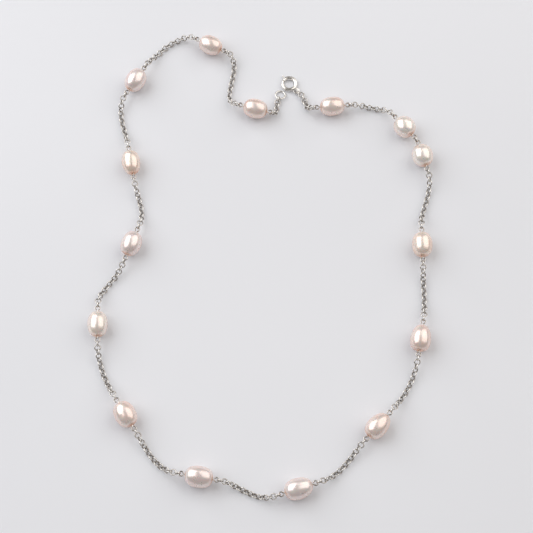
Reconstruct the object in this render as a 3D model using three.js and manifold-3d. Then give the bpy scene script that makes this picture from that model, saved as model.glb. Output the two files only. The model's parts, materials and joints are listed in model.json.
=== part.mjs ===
// Pearl station necklace, lying flat in an open loop.
// Millimetres, +Z up, +X right, +Y towards the clasp. The table is z = 0.
import * as THREE from 'three';
import Module from 'manifold-3d';
import { mergeVertices } from 'three/addons/utils/BufferGeometryUtils.js';

const wasm = await Module();
wasm.setup();

// ---- pearls ---------------------------------------------------------------
const PEARL_LENGTH = 8.0; // drilled end to drilled end of an oval pearl
const PEARL_WIDTH = 6.4; // across an oval pearl
const ROUND_LENGTH = 0.9 * PEARL_LENGTH; // the two nearly round pearls of the close pair
const ROUND_WIDTH = 1.05 * PEARL_WIDTH;
const DRILL_RADIUS = 0.45; // hole right through each pearl
const PEARL_SIDES = 14;
const PEARL_ROWS = 8;

// ---- wire pins with an eye at each end ---------------------------------------
const PIN_WIRE = 0.45; // wire diameter
const EYE_OUTER = 1.9; // outside diameter of an eye
const EYE_NECK = 0.25; // bare wire between the pearl and the eye
const EYE_MEAN = (EYE_OUTER - PIN_WIRE) / 2;

// ---- round-link chain ------------------------------------------------------
const LINK_OUTER = 2.2; // outside diameter of one link
const LINK_WIRE = 0.42;
const CHAIN_GAP = 0.3; // a length stops this far outside the eye's rim
const CHAIN_DROP = 6.5; // distance over which a length sinks from pearl height to the table

// ---- spring-ring clasp and the ring it closes on --------------------------------
const CLASP_OUTER = 5.6; // outside diameter of the clasp ring
const CLASP_TUBE = 0.62; // outside radius of its bent tube
const CLASP_BORE = 0.7 * CLASP_TUBE; // inside radius of the tube
const BOLT_RADIUS = 0.55 * CLASP_TUBE; // sliding bolt inside the tube
const CLASP_MEAN = CLASP_OUTER / 2 - CLASP_TUBE;
const EAR_OUTER = 2.1; // flat ear soldered to the tube
const EAR_HOLE = 1.15;
const EAR_THICK = 0.36;
const EAR_RAISE = 0.1; // the ear sits a little above the middle of the tube
const JUMP_OUTER = 2.4; // jump ring between ear and chain
const JUMP_WIRE = 0.4;
const END_OUTER = 3.8; // plain ring on the other end
const END_WIRE = 0.6;
const END_GAP = 0.35; // between the end ring and the clasp, lying side by side

// ---- how the loop lies ------------------------------------------------------
const LOOP_SHARE = 1; // how wide the loop is spread; the chain lengths follow
// Each pearl: centre x, y, the way its pin points (degrees) and its shape.
// Shape: length and width as shares of the plain oval, taper to one end, fullness of the ends.
const OVAL = { long: 1, wide: 1, taper: 0, full: 0.86 };
const STATIONS = [
  { x: -2.6, y: 50.6, turn: 165, shape: { ...OVAL, long: 0.97 } },
  { x: -17.5, y: 74.0, turn: 154, shape: { ...OVAL, long: 0.95, wide: 0.98 } },
  { x: -42.0, y: 61.0, turn: 239, shape: { ...OVAL, wide: 1.0, full: 0.9 } },
  { x: -42.5, y: 31.5, turn: 281, shape: { ...OVAL, long: 1.0, wide: 0.92, taper: 0.06 } },
  { x: -41.5, y: 3.5, turn: 250, shape: { ...OVAL, long: 0.98, wide: 1.0 } },
  { x: -51.0, y: -23.0, turn: 272, shape: { ...OVAL, wide: 0.98 } },
  { x: -41.5, y: -51.5, turn: 302, shape: { ...OVAL, long: 1.0, wide: 1.02, full: 0.82 } },
  { x: -19.0, y: -70.5, turn: 350, shape: { ...OVAL, long: 1.04, wide: 1.02, full: 0.8 } },
  { x: 10.5, y: -74.0, turn: 18, shape: { ...OVAL, long: 1.05, wide: 1.0, taper: 0.05 } },
  { x: 34.5, y: -55.0, turn: 48, shape: { ...OVAL, long: 1.06, wide: 0.98, taper: 0.12 } },
  { x: 48.4, y: -27.5, turn: 80, shape: { ...OVAL, long: 1.04, wide: 1.0, taper: 0.14 } },
  { x: 50.0, y: 3.2, turn: 90, shape: { ...OVAL, long: 0.98, wide: 1.0, full: 0.78 } },
  { x: 51.2, y: 33.8, turn: 106, round: true, shape: { ...OVAL, full: 0.94 } },
  { turn: 130, round: true, shape: { ...OVAL, long: 0.98, full: 0.94 } },
  { x: 22.5, y: 51.5, turn: 185, shape: { ...OVAL, long: 0.98, wide: 0.98 } },
];
const PAIR = 12; // the station that starts the close pair; the next one is hung on it
const PAIR_TURN = 118; // the way the single link between the two points
const CLASP_AT = { x: 8.5, y: 61.0 }; // centre of the clasp ring
const EAR_TURN = -48; // where the ear sits round the clasp ring
const END_TURN = 235; // where the end ring lies, seen from the clasp
const END_CHAIN_TURN = 250; // where the chain joins the end ring

for (const place of [...STATIONS, CLASP_AT]) {
  place.x *= LOOP_SHARE;
  place.y *= LOOP_SHARE;
}

const rad = (degrees) => (degrees * Math.PI) / 180;
const two = (n) => String(n).padStart(2, '0');

// The point at the given reach and direction (degrees) from another.
function polar(at, turn, reach) {
  return { x: at.x + reach * Math.cos(rad(turn)), y: at.y + reach * Math.sin(rad(turn)) };
}

const group = new THREE.Group();

const SILVER = 0xd4d2cf;
const NACRE = 0xf0d5cc;

function add(name, geometry, colour) {
  const metal = colour === SILVER;
  const material = new THREE.MeshStandardMaterial({
    color: colour,
    metalness: metal ? 1 : 0,
    roughness: metal ? 0.2 : 0.3,
  });
  const mesh = new THREE.Mesh(geometry, material);
  mesh.name = name;
  group.add(mesh);
}

function toManifold(geometry) {
  const bare = geometry.clone();
  bare.deleteAttribute('normal');
  bare.deleteAttribute('uv');
  const g = mergeVertices(bare, 1e-4);
  return new wasm.Manifold(
    new wasm.Mesh({
      numProp: 3,
      vertProperties: new Float32Array(g.attributes.position.array),
      triVerts: new Uint32Array(g.index.array),
    }),
  );
}

function fromManifold(body) {
  const mesh = body.getMesh();
  const g = new THREE.BufferGeometry();
  g.setAttribute('position', new THREE.BufferAttribute(mesh.vertProperties, 3));
  g.setIndex(new THREE.BufferAttribute(mesh.triVerts, 1));
  g.computeVertexNormals();
  return g;
}

// A round section with the given number of sides.
function disc(radius, sides) {
  const points = [];
  for (let i = 0; i < sides; i += 1) {
    const a = (2 * Math.PI * (i + 0.5)) / sides;
    points.push(new THREE.Vector2(radius * Math.cos(a), radius * Math.sin(a)));
  }
  return new THREE.Shape(points);
}

function sweep(path, section, steps) {
  return new THREE.ExtrudeGeometry(section, { steps, bevelEnabled: false, extrudePath: path });
}

// An arc of a circle lying flat at height z.
class FlatArc extends THREE.Curve {
  constructor(centre, radius, from, to) {
    super();
    this.centre = centre;
    this.radius = radius;
    this.from = rad(from);
    this.to = rad(to);
  }

  getPoint(t, target = new THREE.Vector3()) {
    const a = this.from + (this.to - this.from) * t;
    return target.set(
      this.centre.x + this.radius * Math.cos(a),
      this.centre.y + this.radius * Math.sin(a),
      this.centre.z,
    );
  }
}

// A length of chain: a smooth bow in plan between two ends, sinking to the table in between.
class ChainLine extends THREE.Curve {
  constructor(a, b) {
    super();
    this.a = a;
    this.b = b;
    this.span = Math.hypot(b.x - a.x, b.y - a.y) * 1.05;
    this.u = polar({ x: 0, y: 0 }, a.turn, this.span);
    this.v = polar({ x: 0, y: 0 }, b.turn, this.span);
  }

  getPoint(t, target = new THREE.Vector3()) {
    const h1 = 2 * t ** 3 - 3 * t ** 2 + 1;
    const h2 = t ** 3 - 2 * t ** 2 + t;
    const h3 = -2 * t ** 3 + 3 * t ** 2;
    const h4 = t ** 3 - t ** 2;
    const x = h1 * this.a.x + h2 * this.u.x + h3 * this.b.x + h4 * this.v.x;
    const y = h1 * this.a.y + h2 * this.u.y + h3 * this.b.y + h4 * this.v.y;
    const drop = Math.min(CHAIN_DROP / this.span, 0.5);
    const low = LINK_OUTER / 2;
    const fromA = (this.a.z - low) * fade(t / drop);
    const fromB = (this.b.z - low) * fade((1 - t) / drop);
    return target.set(x, y, low + fromA + fromB);
  }
}

// 1 at the start, 0 from s = 1 on, smooth between.
function fade(s) {
  const c = Math.min(Math.max(s, 0), 1);
  return 1 - c * c * (3 - 2 * c);
}

// Part of a longer line, so that its ends can be trimmed.
class Trimmed extends THREE.Curve {
  constructor(line, before, after) {
    super();
    this.line = line;
    const whole = line.getLength();
    this.from = before / whole;
    this.to = 1 - after / whole;
  }

  getPoint(t, target = new THREE.Vector3()) {
    return this.line.getPointAt(this.from + (this.to - this.from) * t, target);
  }
}

// ---- pearls and their pins -----------------------------------------------------
function pearlSize(station) {
  const length = station.round ? ROUND_LENGTH : PEARL_LENGTH;
  const width = station.round ? ROUND_WIDTH : PEARL_WIDTH;
  return { length: length * station.shape.long, width: width * station.shape.wide };
}

function pearl(station) {
  const { length, width } = pearlSize(station);
  const { taper, full } = station.shape;
  const edge = Math.asin(((DRILL_RADIUS + 0.15) / (width / 2)) ** (1 / full));
  const rows = [];
  for (let i = 0; i <= PEARL_ROWS; i += 1) {
    const a = edge + ((Math.PI - 2 * edge) * i) / PEARL_ROWS;
    const along = -Math.cos(a) / Math.cos(edge);
    rows.push([Math.sin(a) ** full * (1 - taper * along), (along * length) / 2]);
  }
  const widest = Math.max(...rows.map((row) => row[0]));
  const profile = [new THREE.Vector2(DRILL_RADIUS, -length / 2)];
  for (const [radius, along] of rows) {
    profile.push(new THREE.Vector2((radius / widest) * (width / 2), along));
  }
  profile.push(new THREE.Vector2(DRILL_RADIUS, length / 2));
  profile.push(new THREE.Vector2(DRILL_RADIUS, -length / 2));
  const body = new THREE.LatheGeometry(profile, PEARL_SIDES);
  body.rotateZ(-Math.PI / 2);
  return body;
}

function pinSpan(station) {
  return pearlSize(station).length / 2 + EYE_NECK + EYE_OUTER / 2;
}

function pin(station) {
  const reach = pinSpan(station);
  const shank = new THREE.CylinderGeometry(PIN_WIRE / 2, PIN_WIRE / 2, 2 * (reach - EYE_MEAN), 8);
  shank.rotateZ(Math.PI / 2);
  const eye = new THREE.TorusGeometry(EYE_MEAN, PIN_WIRE / 2, 6, 12);
  let body = toManifold(shank);
  for (const side of [-1, 1]) {
    body = body.add(toManifold(eye.clone().translate(side * reach, 0, 0)));
  }
  return fromManifold(body);
}

function place(geometry, station, z) {
  return geometry.rotateZ(rad(station.turn)).translate(station.x, station.y, z);
}

// The centre of one eye of a station's pin; side -1 is the earlier end, +1 the later one.
function eyeAt(station, side) {
  const at = polar(station, station.turn, pinSpan(station) * side);
  return { ...at, z: pearlSize(station).width / 2, turn: station.turn };
}

// The second pearl of the close pair hangs on the first by one link through both eyes.
const LINK_SEAT = EYE_OUTER / 2 - PIN_WIRE - LINK_WIRE / 2 - 0.09;
const pairEye = polar(eyeAt(STATIONS[PAIR], 1), PAIR_TURN, LINK_OUTER - LINK_WIRE + 2 * LINK_SEAT);
const hung = STATIONS[PAIR + 1];
Object.assign(hung, polar(pairEye, hung.turn, pinSpan(hung)));

STATIONS.forEach((station, i) => {
  const height = pearlSize(station).width / 2;
  add(`pearl_${two(i + 1)}`, place(pearl(station), station, height), NACRE);
  add(`pearl_pin_${two(i + 1)}`, place(pin(station), station, height), SILVER);
});

// ---- chain -------------------------------------------------------------------
function chainTube(from, to, trimFrom, trimTo) {
  const line = new Trimmed(new ChainLine(from, to), trimFrom, trimTo);
  const steps = Math.max(4, Math.round(line.getLength() / 2));
  return sweep(line, disc(LINK_OUTER / 2, 8), steps);
}

const EYE_TRIM = EYE_OUTER / 2 + CHAIN_GAP;
for (let i = 0; i + 1 < STATIONS.length; i += 1) {
  const from = eyeAt(STATIONS[i], 1);
  const to = eyeAt(STATIONS[i + 1], -1);
  if (i === PAIR) {
    // The close pair is joined by a single link standing upright through both eyes.
    const turn = Math.atan2(to.y - from.y, to.x - from.x);
    const link = new THREE.TorusGeometry((LINK_OUTER - LINK_WIRE) / 2, LINK_WIRE / 2, 6, 14);
    link.rotateX(Math.PI / 2).rotateZ(turn);
    link.translate((from.x + to.x) / 2, (from.y + to.y) / 2, (from.z + to.z) / 2);
    add('pair_link', link, SILVER);
  } else {
    add(`chain_length_${two(i + 1)}`, chainTube(from, to, EYE_TRIM, EYE_TRIM), SILVER);
  }
}

// ---- end ring and the length that carries it ---------------------------------------
const endAt = polar(CLASP_AT, END_TURN, CLASP_OUTER / 2 + END_GAP + END_OUTER / 2);
const endRing = new THREE.TorusGeometry((END_OUTER - END_WIRE) / 2, END_WIRE / 2, 6, 18);
add('end_ring', endRing.translate(endAt.x, endAt.y, END_WIRE / 2), SILVER);

const endEdge = {
  ...polar(endAt, END_CHAIN_TURN, END_OUTER / 2 + CHAIN_GAP),
  z: LINK_OUTER / 2,
  turn: END_CHAIN_TURN,
};
add('chain_length_00', chainTube(endEdge, eyeAt(STATIONS[0], -1), 0, EYE_TRIM), SILVER);

// ---- clasp -------------------------------------------------------------------
const claspAt = new THREE.Vector3(CLASP_AT.x, CLASP_AT.y, CLASP_TUBE);

// A rod bent round the clasp's centre line between two angles.
function bentRod(radius, from, to, sides = 10) {
  const steps = Math.max(2, Math.ceil(Math.abs(to - from) / 12));
  return toManifold(sweep(new FlatArc(claspAt, CLASP_MEAN, from, to), disc(radius, sides), steps));
}

const MOUTH_FROM = 150; // the gap in the ring, closed by the bolt
const MOUTH_TO = 190;
const BORE_END = 25; // the tube is hollow from the mouth to here
const SLOT_FROM = 76; // slot the thumb knob slides in
const SLOT_TO = 134;
const KNOB_TURN = 126;

const slotPath = new FlatArc(claspAt, CLASP_MEAN + 0.75, SLOT_FROM, SLOT_TO);
const slotShape = new THREE.Shape([
  new THREE.Vector2(-0.25, -0.75),
  new THREE.Vector2(0.25, -0.75),
  new THREE.Vector2(0.25, 0.75),
  new THREE.Vector2(-0.25, 0.75),
]);
const earCentre = polar(CLASP_AT, EAR_TURN, CLASP_OUTER / 2 + EAR_OUTER / 2 - 0.25);
const earDisc = new THREE.CylinderGeometry(EAR_OUTER / 2, EAR_OUTER / 2, EAR_THICK, 18);
earDisc.rotateX(Math.PI / 2).translate(earCentre.x, earCentre.y, CLASP_TUBE + EAR_RAISE);
const earHole = new THREE.CylinderGeometry(EAR_HOLE / 2, EAR_HOLE / 2, 2, 14);
earHole.rotateX(Math.PI / 2).translate(earCentre.x, earCentre.y, CLASP_TUBE);

const claspBody = bentRod(CLASP_TUBE, MOUTH_TO - 360, MOUTH_FROM)
  .add(toManifold(earDisc))
  .subtract(bentRod(CLASP_BORE, BORE_END, MOUTH_FROM + 4))
  .subtract(bentRod(CLASP_BORE, MOUTH_TO - 364, MOUTH_TO - 345))
  .subtract(toManifold(sweep(slotPath, slotShape, 6)))
  .subtract(toManifold(earHole));
add('clasp_body', fromManifold(claspBody), SILVER);

const knobAt = polar(CLASP_AT, KNOB_TURN, CLASP_MEAN + 0.62);
const knobStem = new THREE.CylinderGeometry(0.17, 0.17, 0.9, 8);
knobStem.rotateZ(-Math.PI / 2).rotateZ(rad(KNOB_TURN)).translate(knobAt.x, knobAt.y, CLASP_TUBE);
const knobEnd = polar(CLASP_AT, KNOB_TURN, CLASP_MEAN + 1.2);
const knobBall = new THREE.SphereGeometry(0.36, 10, 7);
knobBall.translate(knobEnd.x, knobEnd.y, CLASP_TUBE);
const bolt = bentRod(BOLT_RADIUS, 92, MOUTH_TO + 8)
  .add(toManifold(knobStem))
  .add(toManifold(knobBall));
add('clasp_bolt', fromManifold(bolt), SILVER);

// The little coil spring behind the bolt, following the bend of the tube.
class BentCoil extends THREE.Curve {
  getPoint(t, target = new THREE.Vector3()) {
    const a = rad(BORE_END + 6 + (90 - 6 - BORE_END - 6) * t);
    const spin = 2 * Math.PI * COIL_TURNS * t;
    const reach = CLASP_MEAN + COIL_RADIUS * Math.cos(spin);
    return target.set(
      claspAt.x + reach * Math.cos(a),
      claspAt.y + reach * Math.sin(a),
      claspAt.z + COIL_RADIUS * Math.sin(spin),
    );
  }
}
const COIL_TURNS = 7;
const COIL_RADIUS = 0.24;
add('bolt_spring', sweep(new BentCoil(), disc(0.06, 5), COIL_TURNS * 9), SILVER);

// Jump ring standing upright through the ear, and the last length of chain.
const jumpLift = JUMP_OUTER / 2 - CLASP_TUBE - EAR_RAISE;
const jumpMean = (JUMP_OUTER - JUMP_WIRE) / 2;
const jumpAt = polar(earCentre, EAR_TURN, Math.sqrt(jumpMean ** 2 - jumpLift ** 2));
const jumpRing = new THREE.TorusGeometry(jumpMean, JUMP_WIRE / 2, 6, 16);
jumpRing.rotateX(Math.PI / 2).rotateZ(rad(EAR_TURN));
add('jump_ring', jumpRing.translate(jumpAt.x, jumpAt.y, JUMP_OUTER / 2), SILVER);

const jumpEdge = {
  ...polar(jumpAt, EAR_TURN, JUMP_OUTER / 2 + CHAIN_GAP),
  z: LINK_OUTER / 2,
  turn: EAR_TURN + 180,
};
const last = STATIONS.length;
const lastTube = chainTube(eyeAt(STATIONS[last - 1], 1), jumpEdge, EYE_TRIM, 0);
add(`chain_length_${two(last)}`, lastTube, SILVER);

// The origin is under the middle of the whole loop, on the table.
const box = new THREE.Box3().setFromObject(group);
const middle = box.getCenter(new THREE.Vector3());
group.traverse((piece) => {
  piece.geometry?.translate(-middle.x, -middle.y, -box.min.z);
});

export default group;
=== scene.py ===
"""Pearl station necklace: the shown pieces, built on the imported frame.

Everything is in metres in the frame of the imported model: +Z up, the loop lying on z = 0.
"""

import json  # noqa: E402
import logging  # noqa: E402
import math  # noqa: E402
import random  # noqa: E402
from dataclasses import dataclass, field  # noqa: E402
from enum import Enum  # noqa: E402

import bmesh  # noqa: E402
import bpy  # noqa: E402
from mathutils import Matrix, Vector  # noqa: E402

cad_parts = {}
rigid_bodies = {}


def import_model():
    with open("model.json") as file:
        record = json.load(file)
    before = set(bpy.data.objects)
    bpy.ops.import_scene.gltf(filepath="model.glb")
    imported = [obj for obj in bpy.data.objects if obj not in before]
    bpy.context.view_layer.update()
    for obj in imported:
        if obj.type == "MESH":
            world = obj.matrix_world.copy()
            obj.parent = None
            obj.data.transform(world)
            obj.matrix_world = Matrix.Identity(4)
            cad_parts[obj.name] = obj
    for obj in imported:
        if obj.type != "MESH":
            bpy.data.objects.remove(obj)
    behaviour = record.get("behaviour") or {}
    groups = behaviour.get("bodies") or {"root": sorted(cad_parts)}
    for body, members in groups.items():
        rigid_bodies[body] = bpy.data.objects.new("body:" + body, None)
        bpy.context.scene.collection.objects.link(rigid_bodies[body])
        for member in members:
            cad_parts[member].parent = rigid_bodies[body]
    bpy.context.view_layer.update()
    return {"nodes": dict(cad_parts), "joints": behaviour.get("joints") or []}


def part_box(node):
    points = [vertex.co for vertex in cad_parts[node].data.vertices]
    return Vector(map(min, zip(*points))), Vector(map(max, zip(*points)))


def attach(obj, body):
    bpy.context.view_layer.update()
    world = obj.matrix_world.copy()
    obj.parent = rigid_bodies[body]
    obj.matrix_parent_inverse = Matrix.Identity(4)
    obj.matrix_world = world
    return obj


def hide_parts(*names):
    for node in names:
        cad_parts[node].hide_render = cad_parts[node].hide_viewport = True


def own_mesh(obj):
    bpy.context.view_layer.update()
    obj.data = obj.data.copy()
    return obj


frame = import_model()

log = logging.getLogger("necklace")

MM = 0.001
UP = Vector((0.0, 0.0, 1.0))


class Slot(Enum):
    """The record's material slots."""

    NACRE = "nacre"
    SILVER = "silver"
    SPRING = "spring_steel"


class LinkLay(Enum):
    """How a link stands against its neighbour: roll about the chain's own line, in degrees."""

    UPRIGHT = 90.0
    FLAT = 0.0


# --------------------------------------------------------------------------------------
# Reading the frame
# --------------------------------------------------------------------------------------


def joint_named(name: str) -> dict:
    """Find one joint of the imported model.

    Args:
        name: The joint's name.

    Returns:
        The joint as the record states it.
    """
    return next(j for j in frame["joints"] if j["name"] == name)


def pivot_between(first: str, second: str) -> Vector:
    """Find where two bodies are hinged to each other.

    Args:
        first: Name of one body.
        second: Name of the other body.

    Returns:
        The hinge's point at rest.
    """
    pair = {first, second}
    return Vector(next(j["pos_m"] for j in frame["joints"] if {j["parent"], j["child"]} == pair))


def node_points(node: str) -> list[Vector]:
    """List the corners of a CAD node.

    Args:
        node: The node's name.

    Returns:
        Its vertices at rest.
    """
    return [v.co.copy() for v in frame["nodes"][node].data.vertices]


def node_middle(node: str) -> Vector:
    """Return the middle of a CAD node's box."""
    low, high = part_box(node)
    return (low + high) / 2


# --------------------------------------------------------------------------------------
# Mesh tools
# --------------------------------------------------------------------------------------


@dataclass
class Route:
    """A line through space that wire or chain follows.

    Attributes:
        points: The points it runs through, in order.
        reach: Distance along the line to each point, measured when it is made.
    """

    points: list[Vector]
    reach: list[float] = field(default_factory=list)

    def __post_init__(self) -> None:
        """Measure the distance along the line to each point."""
        self.reach = [0.0]
        for a, b in zip(self.points, self.points[1:]):
            self.reach.append(self.reach[-1] + (b - a).length)

    @property
    def length(self) -> float:
        """The whole length of the line."""
        return self.reach[-1]

    def at(self, distance: float) -> tuple[Vector, Vector]:
        """Find a place on the line.

        Args:
            distance: How far along the line.

        Returns:
            The point there and the direction of travel.
        """
        distance = min(max(distance, 0.0), self.length)
        for i in range(len(self.points) - 1):
            if distance <= self.reach[i + 1] or i == len(self.points) - 2:
                a, b = self.points[i], self.points[i + 1]
                share = (distance - self.reach[i]) / max(self.reach[i + 1] - self.reach[i], 1e-12)
                return a.lerp(b, share), (b - a).normalized()
        return self.points[-1].copy(), (self.points[-1] - self.points[-2]).normalized()


def basis(along: Vector, across: Vector, origin: Vector) -> Matrix:
    """Make a placing matrix from two directions and a point.

    Args:
        along: Where local X goes.
        across: Roughly where local Y goes.
        origin: Where the local origin goes.

    Returns:
        The 4x4 matrix.
    """
    x = along.normalized()
    z = x.cross(across).normalized()
    y = z.cross(x)
    turned = Matrix((x, y, z)).transposed().to_4x4()
    return Matrix.Translation(origin) @ turned


def edges_of(verts: list) -> list:
    """List the edges at some vertices, each once and in the same order every run."""
    return list(dict.fromkeys(e for v in verts for e in v.link_edges))


def sweep_wire(bm: bmesh.types.BMesh, route: Route, radius: float, sides: int, tip: float = 0.6) -> None:
    """Draw a round wire along a route, with rounded tips.

    Args:
        bm: The mesh that receives the wire.
        route: The line the wire follows.
        radius: Half the wire's diameter.
        sides: How many sides its section has.
        tip: How far each tip is rounded, as a share of the radius.
    """
    points = route.points
    pinch = 1 - tip * 0.45
    headings = []
    for i in range(len(points)):
        a = points[max(i - 1, 0)]
        b = points[min(i + 1, len(points) - 1)]
        headings.append((b - a).normalized())
    across = headings[0].orthogonal().normalized()
    ring = bmesh.ops.create_circle(bm, cap_ends=False, radius=radius, segments=sides)["verts"]
    here = basis(across, headings[0].cross(across), points[0])
    bmesh.ops.transform(bm, matrix=here @ Matrix.Scale(pinch, 4), verts=ring)
    edges = edges_of(ring)
    bmesh.ops.contextual_create(bm, geom=edges)
    last = here @ Matrix.Scale(pinch, 4)
    for i, heading in enumerate(headings):
        across = (across - heading * across.dot(heading)).normalized()
        here = basis(across, heading.cross(across), points[i])
        if i == 0:
            here = Matrix.Translation(heading * radius * tip * 0.5) @ here
        share = pinch if i == len(headings) - 1 else 1.0
        step = here @ Matrix.Scale(share, 4)
        grown = bmesh.ops.extrude_edge_only(bm, edges=edges)["geom"]
        ring = [g for g in grown if isinstance(g, bmesh.types.BMVert)]
        edges = [g for g in grown if isinstance(g, bmesh.types.BMEdge)]
        bmesh.ops.transform(bm, matrix=step @ last.inverted(), verts=ring)
        last = step
    bmesh.ops.contextual_create(bm, geom=edges)


def spin_ring(bm: bmesh.types.BMesh, mean: float, wire: float, around: int, sides: int) -> list:
    """Turn a round section into a closed ring lying flat on the origin.

    Args:
        bm: The mesh that receives the ring.
        mean: Radius of the ring's centre line.
        wire: Radius of its wire.
        around: Steps round the ring.
        sides: Sides of the wire's section.

    Returns:
        The ring's vertices.
    """
    before = set(bm.verts)
    section = bmesh.ops.create_circle(bm, cap_ends=False, radius=wire, segments=sides)["verts"]
    stand = Matrix.Translation((mean, 0, 0)) @ Matrix.Rotation(math.pi / 2, 4, "X")
    bmesh.ops.transform(bm, matrix=stand, verts=section)
    edges = edges_of(section)
    bmesh.ops.spin(
        bm,
        geom=section + edges,
        cent=(0, 0, 0),
        axis=(0, 0, 1),
        angle=2 * math.pi,
        steps=around,
        use_merge=True,
    )
    return [v for v in bm.verts if v not in before]


def finish_mesh(bm: bmesh.types.BMesh, name: str, smooth: bool = True) -> bpy.types.Object:
    """Turn a bmesh into an object at the origin, facing outwards.

    Args:
        bm: The mesh; it is freed.
        name: The object's name.
        smooth: Whether its faces are shaded smooth.

    Returns:
        The new object, linked to the scene.
    """
    bmesh.ops.remove_doubles(bm, verts=bm.verts, dist=1e-7)
    bmesh.ops.recalc_face_normals(bm, faces=bm.faces)
    for face in bm.faces:
        face.smooth = smooth
    mesh = bpy.data.meshes.new(name)
    bm.to_mesh(mesh)
    bm.free()
    obj = bpy.data.objects.new(name, mesh)
    bpy.context.scene.collection.objects.link(obj)
    return obj


def apply_modifiers(obj: bpy.types.Object) -> None:
    """Bake an object's modifiers into its mesh and drop them.

    Args:
        obj: The object to settle.
    """
    bpy.context.view_layer.update()
    shaped = obj.evaluated_get(bpy.context.evaluated_depsgraph_get())
    baked = bpy.data.meshes.new_from_object(shaped)
    old = obj.data
    obj.modifiers.clear()
    obj.data = baked
    baked.name = obj.name
    bpy.data.meshes.remove(old)


def cut_away(obj: bpy.types.Object, tool: bpy.types.Object, how: str = "DIFFERENCE") -> None:
    """Cut or join one closed shape with another and remove the tool.

    Args:
        obj: The shape that stays.
        tool: The shape that cuts it or is joined to it.
        how: The kind of boolean.
    """
    step = obj.modifiers.new("cut", "BOOLEAN")
    step.operation = how
    step.solver = "EXACT"
    step.object = tool
    apply_modifiers(obj)
    bpy.data.objects.remove(tool)


def smooth_by_angle(obj: bpy.types.Object, degrees: float = 40.0) -> None:
    """Shade an object smooth, with its sharper edges kept crisp.

    Args:
        obj: The object.
        degrees: Edges sharper than this stay crisp.
    """
    bm = bmesh.new()
    bm.from_mesh(obj.data)
    for face in bm.faces:
        face.smooth = True
    for edge in bm.edges:
        edge.smooth = len(edge.link_faces) == 2 and edge.calc_face_angle(0) < math.radians(degrees)
    bm.to_mesh(obj.data)
    bm.free()


# --------------------------------------------------------------------------------------
# Shader node groups used by more than one finish
# --------------------------------------------------------------------------------------


@dataclass(frozen=True)
class NodeKit:
    """Short ways to place nodes in one tree.

    Attributes:
        tree: The node tree.
    """

    tree: bpy.types.NodeTree

    def add(self, kind: str, **settings: object) -> bpy.types.Node:
        """Add a node.

        Args:
            kind: The node's type name.
            **settings: Properties to set on it.

        Returns:
            The node.
        """
        node = self.tree.nodes.new(kind)
        for key, value in settings.items():
            setattr(node, key, value)
        return node

    def link(self, source: bpy.types.NodeSocket, target: bpy.types.NodeSocket) -> None:
        """Join an output to an input."""
        self.tree.links.new(source, target)

    @staticmethod
    def tune(node: bpy.types.Node, values: dict[str, object]) -> None:
        """Set a node's unlinked inputs by name."""
        for label, value in values.items():
            node.inputs[label].default_value = value


def new_group(
    name: str, inputs: dict[str, tuple[str, object]], outputs: dict[str, str]
) -> tuple[NodeKit, bpy.types.Node, bpy.types.Node]:
    """Start a shader node group.

    Args:
        name: The group's name.
        inputs: Socket kind and default for each named input.
        outputs: Socket kind for each named output.
    """
    tree = bpy.data.node_groups.new(name, "ShaderNodeTree")
    for label, (kind, value) in inputs.items():
        socket = tree.interface.new_socket(name=label, in_out="INPUT", socket_type=kind)
        if value is not None:
            socket.default_value = value
    for label, kind in outputs.items():
        tree.interface.new_socket(name=label, in_out="OUTPUT", socket_type=kind)
    kit = NodeKit(tree)
    return kit, kit.add("NodeGroupInput"), kit.add("NodeGroupOutput")


def cloudy_tint_group() -> bpy.types.NodeTree:
    """Build the group that drifts between two colours in soft clouds.

    Returns:
        The group, with the output Color.
    """
    kit, inside, out = new_group(
        "cloudy_tint",
        {
            "Scale": ("NodeSocketFloat", 300.0),
            "Detail": ("NodeSocketFloat", 2.0),
            "Low": ("NodeSocketFloat", 0.35),
            "High": ("NodeSocketFloat", 0.65),
            "First": ("NodeSocketColor", (0.5, 0.5, 0.5, 1)),
            "Second": ("NodeSocketColor", (0.6, 0.6, 0.6, 1)),
        },
        {"Color": "NodeSocketColor"},
    )
    place = kit.add("ShaderNodeTexCoord")
    noise = kit.add("ShaderNodeTexNoise")
    spread = kit.add("ShaderNodeMapRange", interpolation_type="SMOOTHSTEP")
    mix = kit.add("ShaderNodeMix", data_type="RGBA")
    kit.link(place.outputs["Object"], noise.inputs["Vector"])
    kit.link(inside.outputs["Scale"], noise.inputs["Scale"])
    kit.link(inside.outputs["Detail"], noise.inputs["Detail"])
    kit.link(noise.outputs["Fac"], spread.inputs["Value"])
    kit.link(inside.outputs["Low"], spread.inputs["From Min"])
    kit.link(inside.outputs["High"], spread.inputs["From Max"])
    kit.link(spread.outputs["Result"], mix.inputs["Factor"])
    kit.link(inside.outputs["First"], mix.inputs["A"])
    kit.link(inside.outputs["Second"], mix.inputs["B"])
    kit.link(mix.outputs["Result"], out.inputs["Color"])
    return kit.tree


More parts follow.
